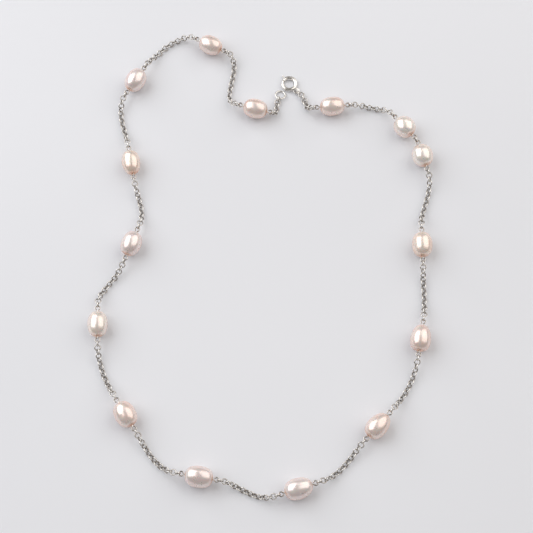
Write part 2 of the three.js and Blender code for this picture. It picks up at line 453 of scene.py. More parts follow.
def polish_marks_group() -> bpy.types.NodeTree:
    """Build the group for the faint unevenness that polishing leaves.

    Returns:
        The group, with outputs Roughness and Height.
    """
    kit, inside, out = new_group(
        "polish_marks",
        {
            "Scale": ("NodeSocketFloat", 2500.0),
            "Base": ("NodeSocketFloat", 0.15),
            "Swing": ("NodeSocketFloat", 0.08),
        },
        {"Roughness": "NodeSocketFloat", "Height": "NodeSocketFloat"},
    )
    place = kit.add("ShaderNodeTexCoord")
    noise = kit.add("ShaderNodeTexNoise")
    noise.inputs["Detail"].default_value = 3.0
    swing = kit.add("ShaderNodeMath", operation="MULTIPLY")
    total = kit.add("ShaderNodeMath", operation="ADD")
    kit.link(place.outputs["Object"], noise.inputs["Vector"])
    kit.link(inside.outputs["Scale"], noise.inputs["Scale"])
    kit.link(noise.outputs["Fac"], swing.inputs[0])
    kit.link(inside.outputs["Swing"], swing.inputs[1])
    kit.link(swing.outputs["Value"], total.inputs[0])
    kit.link(inside.outputs["Base"], total.inputs[1])
    kit.link(total.outputs["Value"], out.inputs["Roughness"])
    kit.link(noise.outputs["Fac"], out.inputs["Height"])
    return kit.tree


@dataclass
class Effects:
    """The shared shader groups, built once.

    Attributes:
        cloudy_tint: Drifts between two colours.
        polish_marks: Faint unevenness of a polished surface.
    """

    cloudy_tint: bpy.types.NodeTree = field(default_factory=cloudy_tint_group)
    polish_marks: bpy.types.NodeTree = field(default_factory=polish_marks_group)

    def place(self, kit: NodeKit, group: bpy.types.NodeTree, **values: object) -> bpy.types.Node:
        """Put a group in a material with its own values.

        Args:
            kit: The material's node kit.
            group: The group to place.
            **values: Input values by name.

        Returns:
            The group node.
        """
        node = kit.add("ShaderNodeGroup", node_tree=group)
        kit.tune(node, values)
        return node


def start_material(name: str) -> tuple[bpy.types.Material, NodeKit, bpy.types.Node]:
    """Make an empty node material.

    Args:
        name: The material's name.

    Returns:
        The material, its node kit and its Principled shader.
    """
    material = bpy.data.materials.new(name)
    material.use_nodes = True
    material.node_tree.nodes.clear()
    kit = NodeKit(material.node_tree)
    shader = kit.add("ShaderNodeBsdfPrincipled")
    out = kit.add("ShaderNodeOutputMaterial")
    kit.link(shader.outputs["BSDF"], out.inputs["Surface"])
    return material, kit, shader


# --------------------------------------------------------------------------------------
# Finishes
# --------------------------------------------------------------------------------------


@dataclass(frozen=True)
class NacreFinish:
    """The lustrous skin of one tint of freshwater pearl.

    Attributes:
        name: The material's name.
        body: The main tint.
        blush: The tint it drifts to in soft clouds.
        drill: The warm tint round the drill holes.
    """

    name: str
    body: tuple[float, float, float, float]
    blush: tuple[float, float, float, float]
    drill: tuple[float, float, float, float] = (0.78, 0.38, 0.20, 1.0)

    def make(self, effects: Effects) -> bpy.types.Material:
        """Build the material.

        Args:
            effects: The shared shader groups.

        Returns:
            The material.
        """
        material, kit, shader = start_material(self.name)
        tint = effects.place(
            kit,
            effects.cloudy_tint,
            Scale=230.0,
            Detail=2.0,
            Low=0.38,
            High=0.66,
            First=self.body,
            Second=self.blush,
        )
        near_hole = kit.add("ShaderNodeAttribute", attribute_name="near_hole")
        warm = kit.add("ShaderNodeMix", data_type="RGBA")
        warm.inputs["B"].default_value = self.drill
        kit.link(near_hole.outputs["Fac"], warm.inputs["Factor"])
        kit.link(tint.outputs["Color"], warm.inputs["A"])
        kit.link(warm.outputs["Result"], shader.inputs["Base Color"])
        skin = effects.place(kit, effects.polish_marks, Scale=700.0, Base=0.22, Swing=0.14)
        kit.link(skin.outputs["Roughness"], shader.inputs["Roughness"])
        dimples = kit.add("ShaderNodeBump")
        kit.tune(dimples, {"Strength": 0.10, "Distance": 0.05 * MM})
        kit.link(skin.outputs["Height"], dimples.inputs["Height"])
        kit.link(dimples.outputs["Normal"], shader.inputs["Normal"])
        kit.tune(
            shader,
            {
                "IOR": 2.1,
                "Metallic": 0.42,
                "Specular Tint": (1.0, 0.78, 0.66, 1.0),
                "Subsurface Weight": 0.3,
                "Subsurface Radius": (1.0, 0.55, 0.4),
                "Subsurface Scale": 0.8 * MM,
                "Coat Weight": 0.95,
                "Coat Roughness": 0.22,
                "Coat IOR": 1.85,
                "Sheen Weight": 0.35,
                "Sheen Roughness": 0.4,
                "Sheen Tint": (1.0, 0.55, 0.40, 1.0),
            },
        )
        return material


@dataclass(frozen=True)
class SilverFinish:
    """Polished silver wire and castings, with painted shade darkening the hollows of links and pin eyes.

    Attributes:
        name: The material's name.
        colour: Colour of the clean metal.
        worn: Colour where it has dulled a little.
        shade_colour: Colour of the painted shade in the hollows of links and pin eyes.
        roughness: How soft its shine is.
    """

    name: str
    colour: tuple[float, float, float, float] = (0.90, 0.875, 0.84, 1.0)
    worn: tuple[float, float, float, float] = (0.68, 0.635, 0.58, 1.0)
    shade_colour: tuple[float, float, float, float] = (0.19, 0.155, 0.125, 1.0)
    roughness: float = 0.11

    def make(self, effects: Effects) -> bpy.types.Material:
        """Build the material.

        Args:
            effects: The shared shader groups.

        Returns:
            The material.
        """
        material, kit, shader = start_material(self.name)
        tint = effects.place(
            kit,
            effects.cloudy_tint,
            Scale=1400.0,
            Detail=3.0,
            Low=0.5,
            High=0.72,
            First=self.colour,
            Second=self.worn,
        )
        # Painted shade: a per-vertex attribute mixes the dark colour in on the inner sides of links and
        # inside pin eyes, where shade falls.
        painted_shade = kit.add("ShaderNodeAttribute", attribute_name="painted_shade")
        shade_mix = kit.add("ShaderNodeMix", data_type="RGBA")
        shade_mix.inputs["B"].default_value = self.shade_colour
        kit.link(painted_shade.outputs["Fac"], shade_mix.inputs["Factor"])
        kit.link(tint.outputs["Color"], shade_mix.inputs["A"])
        kit.link(shade_mix.outputs["Result"], shader.inputs["Base Color"])
        marks = effects.place(kit, effects.polish_marks, Scale=3200.0, Base=self.roughness, Swing=0.1)
        kit.link(marks.outputs["Roughness"], shader.inputs["Roughness"])
        bump = kit.add("ShaderNodeBump")
        kit.tune(bump, {"Strength": 0.12, "Distance": 0.02 * MM})
        kit.link(marks.outputs["Height"], bump.inputs["Height"])
        kit.link(bump.outputs["Normal"], shader.inputs["Normal"])
        shader.inputs["Metallic"].default_value = 1.0
        return material


@dataclass(frozen=True)
class TableFinish:
    """The pale matt surface the necklace lies on.

    Attributes:
        name: The material's name.
        first: Its main colour.
        second: The colour it drifts to.
    """

    name: str = "pale_table"
    first: tuple[float, float, float, float] = (0.80, 0.81, 0.85, 1.0)
    second: tuple[float, float, float, float] = (0.83, 0.84, 0.88, 1.0)

    def make(self, effects: Effects) -> bpy.types.Material:
        """Build the material.

        Args:
            effects: The shared shader groups.

        Returns:
            The material.
        """
        material, kit, shader = start_material(self.name)
        tint = effects.place(
            kit,
            effects.cloudy_tint,
            Scale=6.0,
            Detail=1.0,
            Low=0.3,
            High=0.7,
            First=self.first,
            Second=self.second,
        )
        kit.link(tint.outputs["Color"], shader.inputs["Base Color"])
        shader.inputs["Roughness"].default_value = 0.7
        return material


def dress(obj: bpy.types.Object, material: bpy.types.Material) -> None:
    """Give a piece its finish.

    Args:
        obj: The piece.
        material: Its finish.
    """
    obj.data.materials.clear()
    obj.data.materials.append(material)


# --------------------------------------------------------------------------------------
# Pearls and their pins
# --------------------------------------------------------------------------------------


@dataclass
class Pearl:
    """One drilled freshwater pearl.

    Attributes:
        number: Its place along the necklace.
        sides: Steps round it.
        rows: Steps between two of the CAD rows.
        uneven: How far from round it is, as a share of its radius.
        fuller: Below 1, how much its shoulders fill out beside the plain CAD outline.
        drill: Radius of the drill hole at its mouth.
        drill_depth: How deep the hole is modelled at each end.
        chamfer: How far in from the rim the hole reaches its own width.
        above_table: How far its lowest points are kept off the table.
    """

    number: int
    sides: int = 40
    rows: int = 4
    uneven: float = 0.012
    fuller: float = 0.88
    drill: float = 0.42 * MM
    drill_depth: float = 0.35 * MM
    chamfer: float = 0.08 * MM
    above_table: float = 0.02 * MM

    @property
    def node(self) -> str:
        """The CAD node it stands for."""
        return f"pearl_{self.number:02d}"

    @property
    def centre(self) -> Vector:
        """The middle of the pearl."""
        return Vector(joint_named(f"{self.node}_spin")["pos_m"])

    @property
    def axis(self) -> Vector:
        """The way the drill hole runs, in the order of the necklace."""
        return Vector(joint_named(f"{self.node}_spin")["axis"]).normalized()

    def profile(self) -> list[tuple[float, float]]:
        """Read the pearl's outline from its CAD node.

        Returns:
            Pairs of distance along the drill hole and radius, from one rim to the other.
        """
        rows: dict[float, float] = {}
        for point in node_points(self.node):
            offset = point - self.centre
            along = offset.dot(self.axis)
            radius = (offset - self.axis * along).length
            key = round(along / MM, 2)
            rows[key] = max(rows.get(key, 0.0), radius)
        widest = max(rows.values())
        knots = ((key * MM, widest * (radius / widest) ** self.fuller) for key, radius in rows.items())
        return self.smoothed(sorted(knots))

    def smoothed(self, knots: list[tuple[float, float]]) -> list[tuple[float, float]]:
        """Run a smooth curve through an outline's knots.

        Args:
            knots: The outline's own points.

        Returns:
            The finer outline.
        """
        fine = []
        for i in range(len(knots) - 1):
            p0, p1, p2, p3 = (Vector(knots[min(max(i + k, 0), len(knots) - 1)]) for k in (-1, 0, 1, 2))
            for step in range(self.rows):
                t = step / self.rows
                a = 2 * p1 + (p2 - p0) * t
                b = (2 * p0 - 5 * p1 + 4 * p2 - p3) * t**2
                c = (3 * p1 - p0 - 3 * p2 + p3) * t**3
                fine.append(tuple((a + b + c) / 2))
        fine.append(knots[-1])
        return fine

    def build(self) -> bpy.types.Object:
        """Model the pearl.

        Returns:
            The pearl as an object.
        """
        outline = self.profile()
        rim, far_rim = outline[0][0], outline[-1][0]
        floor = self.drill * 0.9
        near = [(rim + self.drill_depth, floor), (rim + self.chamfer, self.drill)]
        far = [(far_rim - self.chamfer, self.drill), (far_rim - self.drill_depth, floor)]
        bm = bmesh.new()
        line = [bm.verts.new((along, 0, radius)) for along, radius in near + outline + far]
        edges = [bm.edges.new(pair) for pair in zip(line, line[1:])]
        bmesh.ops.spin(
            bm,
            geom=line + edges,
            cent=(0, 0, 0),
            axis=(1, 0, 0),
            angle=2 * math.pi,
            steps=self.sides,
            use_merge=True,
        )
        bmesh.ops.holes_fill(bm, edges=[e for e in bm.edges if e.is_boundary], sides=self.sides)
        self.make_uneven(bm, abs(rim))
        place = basis(self.axis, UP.cross(self.axis), self.centre)
        bmesh.ops.transform(bm, matrix=place, verts=bm.verts)
        for vert in bm.verts:
            vert.co.z = max(vert.co.z, self.above_table)
        pearl = finish_mesh(bm, f"{self.node}_nacre")
        self.mark_holes(pearl, abs(rim))
        return pearl

    def make_uneven(self, bm: bmesh.types.BMesh, half: float) -> None:
        """Press the smooth shape a little out of true, as grown pearls are.

        Args:
            bm: The pearl lying along X.
            half: Half its length.
        """
        chance = random.Random(100 + self.number)
        phases = [chance.uniform(0, 2 * math.pi) for _ in range(5)]
        flat = chance.uniform(0.3, 1.0)
        for vert in bm.verts:
            turn = math.atan2(vert.co.z, vert.co.y)
            along = vert.co.x / half
            fade = max(0.0, 1 - along * along)
            swell = math.sin(2 * turn + phases[0]) * flat
            swell += 0.6 * math.sin(3 * turn + 2.1 * along + phases[1])
            swell += 0.5 * math.sin(turn + phases[2]) * math.sin(2.6 * along + phases[3])
            rings = 0.25 * math.sin(11 * along + phases[4])
            share = 1 + self.uneven * fade * (swell + rings - 0.8)
            vert.co.y *= share
            vert.co.z *= share

    def mark_holes(self, pearl: bpy.types.Object, half: float) -> None:
        """Store how near each point is to a drill hole, for the warm tint there.

        Args:
            pearl: The pearl's object.
            half: Half its length.
        """
        layer = pearl.data.attributes.new("near_hole", "FLOAT", "POINT")
        for vert in pearl.data.vertices:
            offset = vert.co - self.centre
            along = offset.dot(self.axis)
            radius = (offset - self.axis * along).length
            rim = math.hypot(max(0.0, half - abs(along)), max(0.0, radius - 0.3 * MM))
            layer.data[vert.index].value = max(0.0, 1 - rim / (1.7 * MM))


@dataclass
class EyePin:
    """The wire through a pearl, turned into an open eye at each end.

    Attributes:
        number: The pearl's number.
        wire: Half the wire's diameter.
        eye: Radius of an eye's centre line.
        opening: How far short of closed each eye is left, in degrees.
    """

    number: int
    wire: float = 0.225 * MM
    eye: float = 0.725 * MM
    opening: float = 26.0

    @property
    def node(self) -> str:
        """The CAD node it stands for."""
        return f"pearl_pin_{self.number:02d}"

    def ends(self) -> tuple[Vector, Vector]:
        """Find the centres of the two eyes.

        Returns:
            The earlier and the later eye along the necklace.
        """
        pearl = Pearl(self.number)
        low, high = 0.0, 0.0
        for point in node_points(self.node):
            along = (point - pearl.centre).dot(pearl.axis)
            low, high = min(low, along), max(high, along)
        rim = self.eye + self.wire
        return pearl.centre + pearl.axis * (low + rim), pearl.centre + pearl.axis * (high - rim)

    def eye_points(self, centre: Vector, outward: Vector, side: Vector) -> list[Vector]:
        """Bend one eye, from its neck round to its tip.

        Args:
            centre: Centre of the eye.
            outward: From the pearl to the eye.
            side: The side the wire starts round on.

        Returns:
            The points of the bend.
        """
        points = []
        first, last = 158.0, -180.0 + self.opening
        steps = 18
        for i in range(steps + 1):
            turn = math.radians(first + (last - first) * i / steps)
            lift = UP * (self.wire * 0.6 * (i / steps) ** 3)
            spoke = centre + outward * math.cos(turn) * self.eye
            points.append(spoke + side * math.sin(turn) * self.eye + lift)
        return points

    def build(self) -> bpy.types.Object:
        """Model the pin.

        Returns:
            The pin as an object.
        """
        before, after = self.ends()
        axis = (after - before).normalized()
        side = UP.cross(axis)
        neck = self.eye + 0.22 * MM
        early = self.eye_points(before, -axis, side)
        late = self.eye_points(after, axis, -side)
        middle = [before.lerp(after, share) for share in (0.3, 0.7)]
        shank = [before + axis * neck, *middle, after - axis * neck]
        bm = bmesh.new()
        painted_shade = bm.verts.layers.float.new("painted_shade")
        sweep_wire(bm, Route(early[::-1] + shank + late), self.wire, 8)
        # Painted shade: the wire inside each eye is darkened, as if in shadow.
        for vert in bm.verts:
            reach = min((vert.co - eye).xy.length for eye in (before, after))
            vert[painted_shade] = min(1.0, max(0.0, 0.5 + 0.5 * (self.eye - reach) / self.wire))
        return finish_mesh(bm, f"{self.node}_wire")


# --------------------------------------------------------------------------------------
# Chain
# --------------------------------------------------------------------------------------


@dataclass
class RoundLink:
    """One soldered round link.

    Attributes:
        outer: Outside diameter.
        wire: Diameter of its wire.
        around: Steps round the link.
        sides: Sides of the wire's section.
    """

    outer: float = 2.2 * MM
    wire: float = 0.42 * MM
    around: int = 14
    sides: int = 5

    @property
    def mean(self) -> float:
        """Radius of the link's centre line."""
        return (self.outer - self.wire) / 2

    @property
    def pitch(self) -> float:
        """Distance between linked neighbours when the chain is pulled straight."""
        return self.outer - 2 * self.wire

    def stamp(self, bm: bmesh.types.BMesh, place: Matrix) -> None:
        """Add one link to a mesh, with painted shade darkening its inner side.

        Args:
            bm: The mesh that receives it.
            place: Where it goes; the link lies in local XY, with the chain along X.
        """
        painted_shade = bm.verts.layers.float.get("painted_shade") or bm.verts.layers.float.new("painted_shade")
        verts = spin_ring(bm, self.mean, self.wire / 2, self.around, self.sides)
        for vert in verts:
            # Painted shade: darker towards the inner side of the wire, facing the link's middle.
            inward = (self.mean - vert.co.xy.length) / (self.wire / 2)
            vert[painted_shade] = min(1.0, max(0.0, 0.4 + 0.7 * inward))
        bmesh.ops.transform(bm, matrix=place, verts=verts)


@dataclass
class ChainLength:
    """The loose links between two pearls, or between a pearl and a ring.

    Attributes:
        number: Its place along the necklace.
        start: Point the first link hangs on.
        start_heading: The way the length leaves it.
        end: Point the last link hangs on.
        end_heading: The way the length arrives there.
        lead: Straight run at the start before the bow begins.
        tail: Straight run after the bow, at the end.
        end_lay: How the last link stands.
        seat: From the first hanging point to the centre of the link hung on it.
        end_seat: The same at the last hanging point.
        link: The link it is made of.
        drop: How far from each end it takes to sink to the table.
        slack: How much closer than taut neighbouring links sit.
        settled: Roll of a link that lies on the table, in degrees.
    """

    number: int
    start: Vector
    start_heading: Vector
    end: Vector
    end_heading: Vector
    lead: float = 1.3 * MM
    tail: float = 1.3 * MM
    end_lay: LinkLay = LinkLay.UPRIGHT
    seat: float = 1.12 * MM
    end_seat: float = 1.12 * MM
    link: RoundLink = field(default_factory=RoundLink)
    drop: float = 6.5 * MM
    slack: float = 0.05 * MM
    settled: float = 45.0

    @property
    def node(self) -> str:
        """The CAD node it stands for."""
        return f"chain_length_{self.number:02d}"

    def route(self) -> Route:
        """Lay the chain's centre line: a bow in plan that sinks to the table in between.

        Returns:
            The line from hanging point to hanging point.
        """
        a = self.start + self.start_heading * self.lead
        b = self.end - self.end_heading * self.tail
        span = math.hypot(b.x - a.x, b.y - a.y) * 1.05
        sink = min(self.drop / span, 0.5)
        low = self.link.mean * math.sin(math.radians(self.settled)) + self.link.wire / 2
        points = [self.start.copy()]
        steps = 60
        for i in range(steps + 1):
            t = i / steps
            h1, h2 = 2 * t**3 - 3 * t**2 + 1, t**3 - 2 * t**2 + t
            h3, h4 = -2 * t**3 + 3 * t**2, t**3 - t**2
            flat = a * h1 + self.start_heading * (h2 * span) + b * h3 + self.end_heading * (h4 * span)
            height = low + (a.z - low) * self.fade(t / sink) + (b.z - low) * self.fade((1 - t) / sink)
            points.append(Vector((flat.x, flat.y, height)))
        points.append(self.end.copy())
        return Route(points)

    @staticmethod
    def fade(share: float) -> float:
        """Return 1 at 0 and 0 from 1 on, smooth between."""
        share = min(max(share, 0.0), 1.0)
        return 1 - share * share * (3 - 2 * share)

    def rolls(self, count: int) -> list[float]:
        """Choose how each link is rolled about the chain's line.

        The first link stands upright in its eye, the last one as its own eye or ring makes it,
        and the ones between settle at 45 degrees.

        Args:
            count: How many links there are.

        Returns:
            The roll of each link, in degrees.
        """
        chance = random.Random(7 * self.number + count)
        ramp = max(1.0, min(4.0, (count - 1) / 2))
        lays = [LinkLay.UPRIGHT if i % 2 == 0 else LinkLay.FLAT for i in range(count)]
        turns_back = lays[-1] is self.end_lay
        rolls = []
        for i, lay in enumerate(lays):
            base = lay.value
            settle = 1 - self.fade(i / ramp)
            rest = count - 1 - i
            if turns_back:
                turn = min(settle, 1 - self.fade(rest / ramp))
            else:
                turn = settle + self.fade(rest / ramp)
            loose = chance.uniform(-7, 7) if 0 < i < count - 1 else 0.0
            rolls.append(base - self.settled * turn + loose)
        return rolls

    def build(self) -> bpy.types.Object:
        """Model every link of the length.

        Returns:
            The links as one object.
        """
        line = self.route()
        run = line.length - self.seat - self.end_seat
        count = 1 + math.ceil(run / (self.link.pitch - self.slack))
        step = run / (count - 1)
        bm = bmesh.new()
        for i, roll in enumerate(self.rolls(count)):
            spot, heading = line.at(self.seat + i * step)
            side = UP.cross(heading).normalized()
            rise = heading.cross(side)
            across = side * math.cos(math.radians(roll)) + rise * math.sin(math.radians(roll))
            reach = self.link.mean * math.hypot(heading.z, across.z) + self.link.wire / 2
            spot.z = max(spot.z, reach)
            self.link.stamp(bm, basis(heading, across, spot))
        log.info("chain length %02d: %d links, %.2f mm apart", self.number, count, step / MM)
        return finish_mesh(bm, f"{self.node}_links")


# --------------------------------------------------------------------------------------
# Clasp
# --------------------------------------------------------------------------------------


@dataclass
class SpringRing:
    """The spring-ring clasp: hollow ring with ear, sliding bolt with thumb knob, and spring.

    Attributes:
        mean: Radius of the ring's centre line.
        tube: Outside radius of its tube.
        bore: Inside radius of its tube.
        bolt: Radius of the bolt.
        mouth: Angles of the gap, in degrees.
        knob_turn: Angle of the thumb knob.
        slot_turns: Angles of the slot's two ends.
        bore_end: Angle at which the hollow ends.
        ear_outer: Radius of the ear.
        ear_hole: Radius of the ear's hole.
        ear_thick: Thickness of the ear.
        knob: Radius of the thumb knob.
        stem: Radius of the knob's stem.
        coils: Turns of the spring.
        coil: Radius of the spring's centre line.
        spring_wire: Radius of the spring's wire.
        spring_end: Angle at which the spring meets the bolt.
    """

    mean: float = 2.18 * MM
    tube: float = 0.62 * MM
    bore: float = 0.434 * MM
    bolt: float = 0.341 * MM
    mouth: tuple[float, float] = (150.0, 190.0)
    knob_turn: float = 126.0
    slot_turns: tuple[float, float] = (76.0, 134.0)
    bore_end: float = 25.0
    ear_outer: float = 1.05 * MM
    ear_hole: float = 0.575 * MM
    ear_thick: float = 0.36 * MM
    knob: float = 0.36 * MM
    stem: float = 0.17 * MM
    coils: int = 7
    coil: float = 0.24 * MM
    spring_wire: float = 0.06 * MM
    spring_end: float = 84.0

    @property
    def centre(self) -> Vector:
        """Centre of the ring."""
        return Vector(joint_named("clasp_trigger")["pos_m"])

    @property
    def ear_centre(self) -> Vector:
        """Centre of the ear's hole."""
        return Vector(joint_named("clasp_swing")["pos_m"])

    def bent_rod(
        self, name: str, radius: float, start: float, stop: float, sides: int = 20
    ) -> bpy.types.Object:
        """Model a closed rod bent along the ring's centre line.

        Args:
            name: The object's name.
            radius: The rod's radius.
            start: Angle where it starts, in degrees.
            stop: Angle where it stops.
            sides: Sides of its section.

        Returns:
            The rod, lying at the ring's place.
        """
        bm = bmesh.new()
        section = bmesh.ops.create_circle(bm, cap_ends=True, radius=radius, segments=sides)["verts"]
        stand = Matrix.Translation((self.mean, 0, 0)) @ Matrix.Rotation(math.pi / 2, 4, "X")
        bmesh.ops.transform(bm, matrix=Matrix.Rotation(math.radians(start), 4, "Z") @ stand, verts=section)
        geom = section + edges_of(section) + list(bm.faces)
        bmesh.ops.spin(
            bm,
            geom=geom,
            cent=(0, 0, 0),
            axis=(0, 0, 1),
            angle=math.radians(stop - start),
            steps=max(3, round(abs(stop - start) / 5)),
        )
        bmesh.ops.translate(bm, vec=self.centre, verts=bm.verts)
        return finish_mesh(bm, name)

    def disc(self, name: str, radius: float, thick: float, bevel: float) -> bpy.types.Object:
        """Model a flat disc at the ear's place.

        Args:
            name: The object's name.
            radius: Its radius.
            thick: Its thickness.
            bevel: How far its edges are rounded.

        Returns:
            The disc.
        """
        bm = bmesh.new()
        bmesh.ops.create_cone(bm, cap_ends=True, segments=36, radius1=radius, radius2=radius, depth=thick)
        if bevel:
            rims = [e for e in bm.edges if e.calc_face_angle(0) > 1]
            bmesh.ops.bevel(
                bm, geom=rims, offset=bevel, segments=3, profile=0.5, affect="EDGES", material=-1
            )
        bmesh.ops.translate(bm, vec=self.ear_centre, verts=bm.verts)
        return finish_mesh(bm, name)

    def build_body(self) -> bpy.types.Object:
        """Model the hollow ring with its ear.

        Returns:
            The ring's body.
        """
        low, high = self.mouth
        body = self.bent_rod("clasp_body_ring", self.tube, high - 360, low, 24)
        cut_away(body, self.disc("ear", self.ear_outer, self.ear_thick, 0.09 * MM), "UNION")
        cut_away(body, self.bent_rod("hollow", self.bore, self.bore_end, low + 4))
        cut_away(body, self.bent_rod("socket", self.bore, high - 364, high - 345))
        cut_away(body, self.slot_block())
        cut_away(body, self.disc("ear_hole", self.ear_hole, 3 * MM, 0.0))
        smooth_by_angle(body, 38)
        return body

    def slot_block(self) -> bpy.types.Object:
        """Model the block that opens the slot for the thumb knob.

        Returns:
            The block, reaching out of the ring.
        """
        bm = bmesh.new()
        made = bmesh.ops.create_grid(bm, x_segments=1, y_segments=1, size=0.5)["verts"]
        shape = Matrix.Diagonal((1.5 * MM, 0.5 * MM, 1, 1))
        stand = Matrix.Translation((self.mean + 0.75 * MM, 0, 0)) @ Matrix.Rotation(math.pi / 2, 4, "X")
        start, stop = (math.radians(a) for a in self.slot_turns)
        bmesh.ops.transform(bm, matrix=Matrix.Rotation(start, 4, "Z") @ stand @ shape, verts=made)
        geom = made + list(bm.edges) + list(bm.faces)
        bmesh.ops.spin(bm, geom=geom, cent=(0, 0, 0), axis=(0, 0, 1), angle=stop - start, steps=14)
        bmesh.ops.translate(bm, vec=self.centre, verts=bm.verts)
        return finish_mesh(bm, "slot_block")

    def build_bolt(self) -> bpy.types.Object:
        """Model the sliding bolt with its thumb knob.

        Returns:
            The bolt.
        """
        bolt = self.bent_rod("clasp_bolt_rod", self.bolt, 92, self.mouth[1] + 8)
        outward = Matrix.Rotation(math.radians(self.knob_turn), 3, "Z") @ Vector((1, 0, 0))
        stem = bmesh.new()
        bmesh.ops.create_cone(
            stem, cap_ends=True, segments=16, radius1=self.stem, radius2=self.stem, depth=0.9 * MM
        )
        rod = basis(UP, outward.cross(UP), self.centre + outward * (self.mean + 0.62 * MM))
        bmesh.ops.transform(stem, matrix=rod, verts=stem.verts)
        cut_away(bolt, finish_mesh(stem, "knob_stem"), "UNION")
        knob = bmesh.new()
        bmesh.ops.create_uvsphere(knob, u_segments=20, v_segments=14, radius=self.knob)
        bmesh.ops.translate(knob, vec=self.centre + outward * (self.mean + 1.2 * MM), verts=knob.verts)
        cut_away(bolt, finish_mesh(knob, "knob_ball"), "UNION")
        smooth_by_angle(bolt, 38)
        return bolt

    def build_spring(self) -> bpy.types.Object:
        """Model the coil spring behind the bolt.

        Returns:
            The spring.
        """
        start, stop = self.bore_end + 6, self.spring_end
        steps = self.coils * 14
        points = []
        for i in range(steps + 1):
            share = i / steps
            turn = math.radians(start + (stop - start) * share)
            wind = 2 * math.pi * self.coils * share
            reach = self.mean + self.coil * math.cos(wind)
            height = self.coil * math.sin(wind)
            points.append(self.centre + Vector((reach * math.cos(turn), reach * math.sin(turn), height)))
        bm = bmesh.new()
        sweep_wire(bm, Route(points), self.spring_wire, 6)
        return finish_mesh(bm, "bolt_spring_coil")

    def squeeze_spring(self, spring: bpy.types.Object) -> None:
        """Give the spring a mesh of its own.

        Args:
            spring: The spring's object.
        """
        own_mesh(spring)


@dataclass
class PlainRing:
    """A closed round ring that rests on the table.

    Attributes:
        node: The CAD node it stands for.
        outer: Outside diameter.
        wire: Wire diameter.
        along: One direction in its plane, towards the chain.
        across: The other direction in its plane.
        split: Width of the saw cut left where the ring was closed.
    """

    node: str
    outer: float
    wire: float
    along: Vector
    across: Vector
    split: float = 0.0

    def build(self) -> bpy.types.Object:
        """Model the ring at its CAD place.

        Returns:
            The ring.
        """
        mean = (self.outer - self.wire) / 2
        middle = node_middle(self.node)
        middle.z = mean * math.hypot(self.along.z, self.across.z) + self.wire / 2
        steps = 40
        opening = self.split / mean
        points = []
        for i in range(steps + 1):
            turn = opening / 2 + (2 * math.pi - opening) * i / steps + 0.6
            spoke = self.along * math.cos(turn) * mean
            points.append(middle + spoke + self.across * math.sin(turn) * mean)
        bm = bmesh.new()
        if self.split:
            sweep_wire(bm, Route(points), self.wire / 2, 12, tip=0.25)
        else:
            spin_ring(bm, mean, self.wire / 2, steps, 12)
            bmesh.ops.transform(bm, matrix=basis(self.along, self.across, middle), verts=bm.verts)
        return finish_mesh(bm, f"{self.node}_wire")


# --------------------------------------------------------------------------------------
# The necklace
# --------------------------------------------------------------------------------------


@dataclass
class Tints:
    """The pearls' tints, from paler to pinker.

    Attributes:
        finishes: One finish for each tint.
    """

    finishes: tuple[NacreFinish, ...] = (
        NacreFinish("nacre_rose", (0.91, 0.74, 0.68, 1), (0.94, 0.82, 0.77, 1)),
        NacreFinish("nacre_peach", (0.93, 0.75, 0.65, 1), (0.95, 0.83, 0.75, 1)),
        NacreFinish("nacre_cream", (0.95, 0.85, 0.79, 1), (0.97, 0.90, 0.85, 1)),
        NacreFinish("nacre_mauve", (0.89, 0.77, 0.75, 1), (0.93, 0.84, 0.82, 1)),
    )

    def make(self, effects: Effects) -> list[bpy.types.Material]:
        """Build every tint.

        Args:
            effects: The shared shader groups.

        Returns:
            The materials, in order.
        """
        return [finish.make(effects) for finish in self.finishes]


